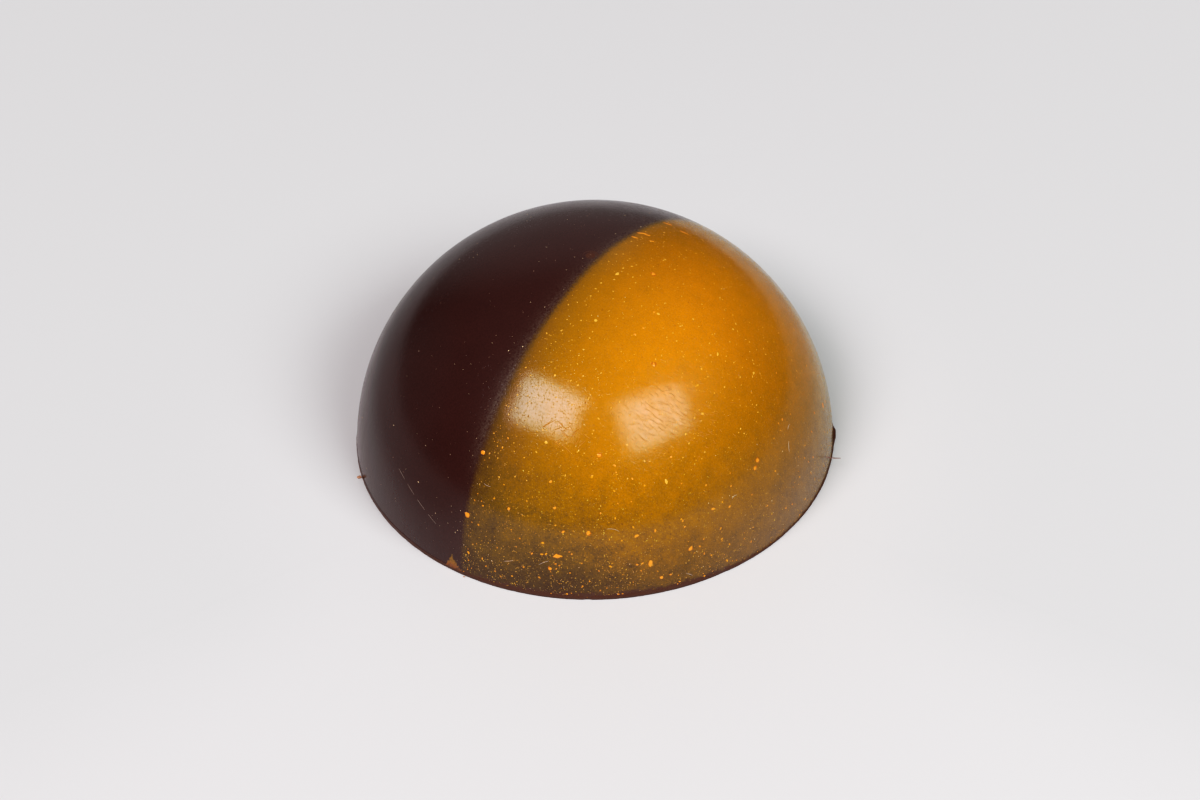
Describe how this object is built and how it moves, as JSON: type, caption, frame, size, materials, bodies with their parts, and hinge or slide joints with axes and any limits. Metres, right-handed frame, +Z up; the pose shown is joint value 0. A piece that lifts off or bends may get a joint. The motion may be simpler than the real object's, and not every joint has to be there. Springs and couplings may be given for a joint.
{
  "type": "chocolate praline",
  "caption": "Half-sphere moulded chocolate praline: a glossy dome, part dark chocolate and part amber coloured film, with a thin foot lip round a flat base.",
  "frame": {"origin": "centre of the flat underside, on the surface that the praline stands on", "axes": "+Z up through the top of the dome; +X and +Y level, -Y towards the side that shows both colours"},
  "size_m": [0.0302, 0.0302, 0.0148],
  "materials": {
    "chocolate": "glossy tempered dark chocolate, over half of the dome covered by a thin speckled amber film of coloured cocoa butter"
  },
  "bodies": {
    "root": {"praline": "chocolate"}
  },
  "joints": []
}
